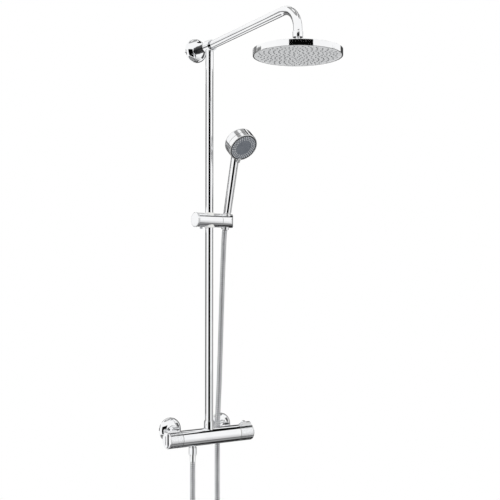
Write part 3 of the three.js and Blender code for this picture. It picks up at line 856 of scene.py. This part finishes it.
def make_stop_spring():
    """The coil under the safety button."""
    path = []
    per_turn = 24
    steps = per_turn * SPRING_TURNS
    for k, (x, y) in enumerate(arc(SPRING_R, 0, 360 * SPRING_TURNS, steps, (BUTTON_X, 0))):
        height = SPRING_LOW + (SPRING_HIGH - SPRING_LOW) * k / steps
        path.append(TEMPERATURE @ Vector((x, y, height)) * MM)
    spring = swept("stop_spring", path, [SPRING_WIRE_R * MM] * len(path), 8)
    spring.data.polygons.foreach_set("use_smooth", [True] * len(spring.data.polygons))
    spring.data.materials.append(MATERIALS["steel"])
    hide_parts("temperature_stop_spring")
    ends = [TEMPERATURE @ Vector((BUTTON_X, 0, height)) * MM for height in (SPRING_LOW, SPRING_HIGH)]
    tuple(ends[0])
    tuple(ends[1])
    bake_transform(spring)


def make_valve_fittings():
    bore = RISER_R + 0.4
    sleeve = [(bore, 8), (12.9, 8), (12.4, 37.9), (12, 38.3), (bore, 38.3)]
    collar = turned("riser_base_collar", sleeve, VALVE, WIDE, 0.3)
    cut(collar, rod("saddle", BAR_R + GAP, -20, 20, VALVE @ ALONG_X, WIDE))
    finished(collar, "root", "chrome", "riser_collar")
    outlet = VALVE @ shift(OUTLET_X)
    nut = hex_nut("hose_lower_nut", 19, -40.5, -23.1, outlet, 10, 7)
    cut(nut, rod("thread", 7.8, -38.6, -22, outlet), rod("neck", 6.5, -41, -37, outlet))
    finished(nut, "root", "chrome", "hose_valve_nut")
    skirt = [(4, -59), (6.7, -59), (6.9, -58.6), (7.3, -43), (6.9, -40.8)]
    neck = [(6.1, -40.8), (6.1, -38.3), (7.4, -38.3), (7.4, -36.5), (4, -36.5)]
    finished(turned("hose_lower_ferrule", skirt + neck, outlet), "root", "chrome", "hose_valve_ferrule")


# ---- Riser, tee, stay and arm ----


def make_riser():
    low = BAR_Z + 23.5
    high = TOP_Z - 10.8
    bore = RISER_R - 1.4
    outline = [(bore, low), (RISER_R, low), (RISER_R, high), (bore, high)]
    finished(turned("riser_pipe", outline, shift(0, -RISER_OUT), WIDE), "root", "chrome", "riser_tube")


def make_tee():
    outline = [
        (5.9, -12),
        (TEE_R, -12),
        (TEE_R, 12.5),
        (12.4, 12.5),
        (12.4, 9.5),
        (11.2, 9.5),
        (11.2, -4),
        (5.9, -4),
    ]
    tee = turned("top_tee", outline, TEE, WIDE, 0.9)
    cut(tee, rod("riser_hole", RISER_R + GAP, -16, -1, TEE @ ALONG_Y))
    finished(tee, "root", "chrome", "riser_tee")


STAY_RIBS = 5
STAY_RIB_START = 16


def make_stay():
    """The top rose, and the ribbed stay that widens from it to the tee."""
    place = wall(0, TOP_Z)
    finished(turned("top_cover_rose", rose_outline(9.8), place, WIDE, 0.5), "root", "chrome", "top_wall_flange")
    end = RISER_OUT - 12.3
    stay = [(0, 3.7), (9.2, 3.7), (9.2, STAY_RIB_START)]
    pitch = (end - 20) / STAY_RIBS
    for i in range(STAY_RIBS):
        start = STAY_RIB_START + i * pitch
        radius = 9.4 + 1.6 * i / (STAY_RIBS - 1)
        stay += [(radius - 0.3, start + 0.4), (radius, start + 1.6), (radius - 0.3, start + pitch - 2)]
        stay += [(radius - 1.3, start + pitch - 1.4), (radius - 1.3, start + pitch)]
    stay += [(11, end - 3.5), (11, end), (5.5, end), (5.5, end + 7), (0, end + 7)]
    # The stay gets the black plastic material as a painted reflection: its black stands in for the dark
    # surroundings that its chrome ribs reflect.
    finished(turned("ribbed_stay", stay, place, WIDE, 0.25), "root", "black_plastic", "wall_stay")


def arm_line():
    """Middle line of the arm: slightly rising, round the bend, straight down. Y is up and Z out."""
    straight = ARM_REACH - BEND_R * (1 + math.sin(ARM_RISE))

    def height(out):
        return out * math.tan(ARM_RISE) - 0.5

    line = [Vector((0, height(out), out)) for out in np.linspace(1, straight, 30)]
    below = BEND_R * math.cos(ARM_RISE)
    centre = Vector((0, height(straight) - below, straight + BEND_R * math.sin(ARM_RISE)))
    steps = 48
    for i in range(1, steps + 1):
        angle = (math.pi / 2 + ARM_RISE) * (1 - i / steps)
        line.append(centre + Vector((0, math.sin(angle), math.cos(angle))) * BEND_R)
    line += [Vector((0, y, ARM_REACH)) for y in np.linspace(line[-1].y, LEG_END_Z - TOP_Z, 5)[1:]]
    return line


def make_arm():
    line = arm_line()
    arm = swept("swan_arm", line, [ARM_R] * len(line), 80, TEE)
    finished(arm, "root", "chrome", "shower_arm")


# ---- Overhead spray ----


def ring_places(radius, count, turn=0.0):
    for k in range(count):
        angle = 2 * math.pi * (k + turn) / count
        yield radius * math.cos(angle), radius * math.sin(angle)


def nozzle_field(name, places, outline, place, sides=10):
    """One mesh of many small turned nozzles standing at the given (x, y) places."""
    points = []
    faces = []
    count = len(outline)
    for x, y in places:
        base = len(points)
        for r, z in outline:
            points += [(x + px, y + py, z) for px, py in ring_places(r, sides)]
        for i in range(count - 1):
            for k in range(sides):
                n = (k + 1) % sides
                row = base + i * sides
                faces.append((row + k, row + n, row + sides + n, row + sides + k))
        faces.append(tuple(range(base, base + sides)))
        faces.append(tuple(range(base + (count - 1) * sides, base + count * sides)))
    return mesh_object(name, points, faces, place)


def make_spray_joint():
    low = LEG_END_Z - 2 - BALL_Z
    high = low + 13
    floor = low + 1.7
    nut = [(5.6, low), (11.5, low), (11.5, high), (10.3, high), (10.3, floor), (5.6, floor)]
    finished(turned("arm_end_nut", nut, SPRAY, WIDE, 0.5), "arm_swivel", "chrome", "arm_ball_nut")
    ball = [(0, -BALL_R)]
    for k in range(1, 26):
        angle = math.radians(-90 + 146 * k / 25)
        ball.append((BALL_R * math.cos(angle), BALL_R * math.sin(angle)))
    ball += [(5.2, 9), (5.2, 24), (0, 24)]
    finished(turned("ball_pivot", ball, SPRAY, ROUND, 0.2), "arm_swivel", "chrome", "swivel_ball")
    socket = [(9.9, -12.4), (16, -12.4), (16, 1), (15, 4), (13, 6), (8.4, 6), (9.9, 2.5)]
    finished(turned("ball_socket", socket, SPRAY, WIDE, 0.8), "rain_head", "chrome", "rain_head_socket")


RAIN_NOZZLES = 210
NOZZLE_SPREAD = 6.2  # radius of the rain nozzles' spiral is this times the root of the nozzle's number
GOLDEN_ANGLE = math.pi * (3 - math.sqrt(5))


def make_rain_head():
    bottom = SPRAY_BOTTOM
    top = bottom + SPRAY_HEIGHT
    shell = [
        (SPRAY_R, bottom),
        (SPRAY_R, top),
        (60, top + 0.6),
        (30, top + 0.9),
        (18, top + 1.1),
        (6, top + 1.1),
        (6, top - 1),
        (30, top - 1.4),
        (96, top - 2.2),
        (97.6, top - 3.5),
        (97.6, bottom),
    ]
    finished(turned("rain_shell", shell, SPRAY, 192, 0.7), "rain_head", "chrome", "rain_head_shell")
    face = [
        (0, bottom + 0.9),
        (94, bottom + 0.9),
        (95.5, bottom + 0.4),
        (97.2, bottom + 0.4),
        (97.2, bottom + 3),
        (0, bottom + 3),
    ]
    finished(turned("rain_plate", face, SPRAY, 160, 0.3), "rain_head", "grey_face", "rain_head_face")
    places = []
    for k in range(RAIN_NOZZLES):
        radius = NOZZLE_SPREAD * math.sqrt(k + 0.5)
        places.append((radius * math.cos(k * GOLDEN_ANGLE), radius * math.sin(k * GOLDEN_ANGLE)))
    nub = [(1.9, bottom + 1.3), (1.7, bottom + 0.4), (1.2, bottom - 0.4), (1, bottom - 0.6)]
    nozzles = nozzle_field("rain_nozzles", places, nub, SPRAY)
    finished(nozzles, "rain_head", "rubber", material="nozzle_rubber")


# ---- Slider ----

KNOB_FACE = -43
KNOB_BACK = -38.8
LOCK_SCREW_X = -24


def cone_radius(s):
    """Radius of the hand spray's cone nut at a height along its axis."""
    return 10.05 + 0.0325 * s


def barrel(name, start, end):
    outline = [(0, start), (SLIDER_R, start), (SLIDER_R, end), (0, end)]
    return turned(name, outline, SLIDER @ ALONG_X, WIDE, 0.5)


def make_slider():
    across = SLIDER @ ALONG_X
    lock = SLIDER @ shift(LOCK_SCREW_X)
    bar = barrel("slider_barrel", KNOB_BACK + 0.5, HOLDER_SEAM - 0.4)
    holes = [
        rod("riser_hole", 13.3, -20, 20, SLIDER, WIDE),
        rod("screw_hole", 3.4, -40, -10, across),
        rod("bolt_hole", 3.4, 10, 32, across),
        rod("bolt_head", 5.4, 10, 17, across),
        rod("recess", 10, 28.8, 32, across),
        rod("lock_hole", 2.7, -20, -11.8, lock),
    ]
    finished(cut(bar, *holes), "slider", "chrome", "slider_body")
    knob = [
        (0, KNOB_FACE),
        (17.6, KNOB_FACE),
        (18.6, KNOB_FACE + 1),
        (18.6, KNOB_BACK - 1),
        (17.4, KNOB_BACK),
        (3.4, KNOB_BACK),
        (3.4, -41),
        (0, -41),
    ]
    finished(turned("clamp_knob_disc", knob, across, WIDE, 0.6), "clamp_knob", "chrome", "slider_clamp_knob")
    bore = RISER_R + GAP
    for name, lip, other, toward in (("upper", 18.8, 4.5, -1), ("lower", -18.8, -4.5, 1)):
        sleeve = [(bore, other), (13, other), (13, lip + toward), (12.2, lip), (bore, lip)]
        bush = turned(f"riser_bush_{name}", sleeve, SLIDER, WIDE, 0.3)
        finished(bush, "carriage", "white_plastic", f"slider_bush_{name}")
    screw = [(0, -22), (3.4, -22), (3.4, -17.6), (2.4, -17.6), (2.4, -12), (0, -12)]
    finished(turned("underside_screw", screw, lock, soft=0.3), "slider", "steel", "slider_lock_screw")


def make_holder():
    """The slider's other end, round in plan, with the tapered hole that the cone nut stands in."""
    holder = barrel("holder_barrel", HOLDER_SEAM + 0.2, 72)
    end = [(20, -20), *arc(SLIDER_R + 0.2, -90, 90, 40, (HANDSET_X, 0)), (20, 20)]
    common(holder, prism("plan", end, -20, 20, SLIDER))
    taper = [(0, -26), (cone_radius(-26) + 0.35, -26), (cone_radius(26) + 0.35, 26), (0, 26)]
    bolt_hole = rod("bolt_hole", 3.4, 30, 39, SLIDER @ ALONG_X)
    cut(holder, turned("taper", taper, HANDSET, WIDE, 0), bolt_hole)
    finished(bevelled(holder, 0.5, 3, 40), "holder", "chrome", "handset_holder")


# ---- Hand spray ----


NUT_LOW = -22
NUT_HIGH = 17
NOZZLE_RINGS = ((31, 36, 0), (26.8, 31, 0.5), (22.6, 26, 0))  # radius, count, turn in nozzle spacings


def make_handset():
    cone = [(cone_radius(NUT_LOW), NUT_LOW), (cone_radius(NUT_HIGH), NUT_HIGH)]
    nut = [(6.9, NUT_LOW), *cone, (9.5, 17.8), (9.5, 20.2), (8.6, 20.2), (8.6, 4), (6.9, 4)]
    finished(turned("hose_cone_nut", nut, HANDSET, WIDE, 0.5), "hose_end", "chrome", "hose_top_nut")
    handle = [(0, 6.3), (8.2, 6.3), (8.2, 20.5), (9.3, 20.5), (9.75, 24), (10.15, 150), (10.6, 178), (0, 178)]
    body = turned("handset_grip", handle, HANDSET, WIDE, 0.4)
    rear = [(0, 37), (26, 36.4), (33.5, 34), (36.6, 31), (DRUM_R, 27.5), (DRUM_R, 10), (0, 10)]
    inside = [(0, 34.6), (25, 34), (31.8, 32), (34.4, 29.6), (35.2, 27), (35.2, 9), (0, 9)]
    join(body, turned("rear", rear, DRUM, WIDE, 2))
    cut(body, turned("inside", inside, DRUM, WIDE, 0.5))
    cut(body, rod("front", DRUM_R + 1.3, -16, 13.8, DRUM, 96))
    cut(body, rod("bore", 7, 5, 182, HANDSET))
    finished(body, "handset", "chrome", "handset_body")


def make_spray_face():
    band = [(34.8, 0), (36.6, 0), (37.2, 0.4), (DRUM_R, 1.4), (DRUM_R, 13.2), (34.8, 13.2)]
    ring = turned("selector_bezel", band, DRUM, WIDE, 0.5)
    tab = bevelled(block("tab", (-4, 30.5, -5), (4, 42.3, -1.2), DRUM), 1.2, 4)
    root = block("tab_root", (-3.6, 35.2, -2), (3.6, 36.6, 3), DRUM)
    finished(join(join(ring, root), tab), "spray_selector", "chrome", "handset_selector_ring")
    rim = [(33, 0.5), (34.4, 0.5), (34.4, -0.5), (34, -0.8), (33.2, -0.4)]
    finished(turned("spray_rim", rim, DRUM, WIDE, 0.2), "handset", "dark_face", material="black_plastic")
    face = [(0, 0.2), (33.2, 0.2), (34.2, 1.2), (34.2, 4), (0, 4)]
    finished(turned("spray_plate", face, DRUM, WIDE, 0.25), "handset", "dark_face", "handset_spray_face")
    places = []
    for radius, count, turn in NOZZLE_RINGS:
        places += ring_places(radius, count, turn)
    nub = [(1.25, 0.6), (1.1, -0.1), (0.8, -0.6)]
    nozzles = nozzle_field("spray_nozzles", places, nub, DRUM, 8)
    finished(nozzles, "handset", "white_plastic", material="nozzle_white")


# ---- CAD pieces that stay ----


def paint_frame():
    slots = {part["node"]: part["material_slot"] for part in frame["record"]["subparts"]}
    for node, piece in frame["nodes"].items():
        piece.data.materials.clear()
        piece.data.materials.append(MATERIALS[slots[node]])


# ---- Studio ----

CARD_DISTANCE = 7
CARD_STEPS = 16
CARD_CENTRE = Vector((0, -0.1, 0.45))

# Azimuths and elevations in degrees, seen from the centre, and the grey level.
CARDS = {
    "camera_side": ((180, 238), (-32, 18.05), 0.002),
    "left_lower": ((-62, -25), (-11.8, 3.4), 0.2),
    "left_upper": ((-62, -42), (5.2, 16.2), 0.2),
    "left_inner": ((-33.6, -25), (5.2, 16.2), 0.2),
    "head_left": ((-37, -15.7), (16.4, 17.8), 0.2),
    "wall_left": ((-25, -14), (-11.8, 15), 0.04),
    "wall_middle": ((-14, 35), (-24, 32), 0.2),
    "right": ((35, 84), (-47, 40), 0.06),
    "far_right": ((100, 127), (-16, 16.2), 0.08),
    "overhead": ((70, 140), (46, 56), 0.005),
    "overhead_right": ((46, 84), (50.5, 60), 0.01),
    "fade_upper": ((130, 175), (-22, -8), 0.86),
    "fade_lower": ((112, 175), (-37, -22), 0.68),
    "low_ring": ((104, 360), (-48, -37), 0.2),
    "low_left": ((104, 360), (-89.5, -48), 0.3),
    "low_right": ((0, 104), (-89.5, -48), 0.02),
    "zenith": ((0, 360), (62, 80), 0.35),
}


def grey_material(name, level, shader="ShaderNodeEmission"):
    material = bpy.data.materials.new(name)
    material.use_nodes = True
    tree = material.node_tree
    tree.nodes.clear()
    light = tree.nodes.new(shader)
    light.inputs["Color"].default_value = (level, level, level, 1)
    output = tree.nodes.new("ShaderNodeOutputMaterial")
    tree.links.new(light.outputs[0], output.inputs["Surface"])
    return material


def card(name, azimuths, elevations, level):
    """A grey card seen only in reflections. Azimuth 0 is +Y and 90 is +X."""
    points = []
    for i in range(CARD_STEPS + 1):
        elevation = math.radians(elevations[0] + (elevations[1] - elevations[0]) * i / CARD_STEPS)
        for k in range(CARD_STEPS + 1):
            azimuth = math.radians(azimuths[0] + (azimuths[1] - azimuths[0]) * k / CARD_STEPS)
            flat = math.cos(elevation)
            direction = Vector((math.sin(azimuth) * flat, math.cos(azimuth) * flat, math.sin(elevation)))
            points.append(direction * CARD_DISTANCE + CARD_CENTRE)
    faces = []
    for i in range(CARD_STEPS):
        for k in range(CARD_STEPS):
            a = i * (CARD_STEPS + 1) + k
            faces.append((a, a + 1, a + CARD_STEPS + 2, a + CARD_STEPS + 1))
    screen = mesh_object(name, points, faces, Matrix())
    screen.data.materials.append(grey_material(name, level))
    screen.visible_camera = False
    screen.visible_diffuse = False
    screen.visible_shadow = False


def make_studio():
    world = bpy.data.worlds.new("studio")
    world.use_nodes = True
    world.node_tree.nodes["Background"].inputs["Color"].default_value = (1, 1, 1, 1)
    world.node_tree.nodes["Background"].inputs["Strength"].default_value = 1
    bpy.context.scene.world = world
    for name, spans in CARDS.items():
        card(f"card_{name}", *spans)
    floor = block("floor", (-2.5, -2.5, -1.12), (2.5, 2.5, -1.1))
    floor.data.materials.append(grey_material("floor", 0.85, "ShaderNodeBsdfDiffuse"))
    floor.visible_glossy = False
    lamp = bpy.data.objects.new("key", bpy.data.lights.new("key", "AREA"))
    lamp.data.energy = 12
    lamp.data.size = 1.6
    lamp.location = (-2.2, -2.4, 2.6)
    lamp.rotation_euler = (Vector((0, 0, 0.5)) - lamp.location).to_track_quat("-Z", "Y").to_euler()
    lamp.visible_glossy = False
    bpy.context.scene.collection.objects.link(lamp)
    bpy.context.scene.view_settings.view_transform = "Standard"


make_camera()
make_hose()
paint_frame()
make_inlet("left", -INLET_X)
make_inlet("right", INLET_X)
make_valve_body()
make_flow_handle()
make_temperature_handle()
make_stop_spring()
make_valve_fittings()
make_riser()
make_tee()
make_stay()
make_arm()
make_spray_joint()
make_rain_head()
make_slider()
make_holder()
make_handset()
make_spray_face()
make_studio()
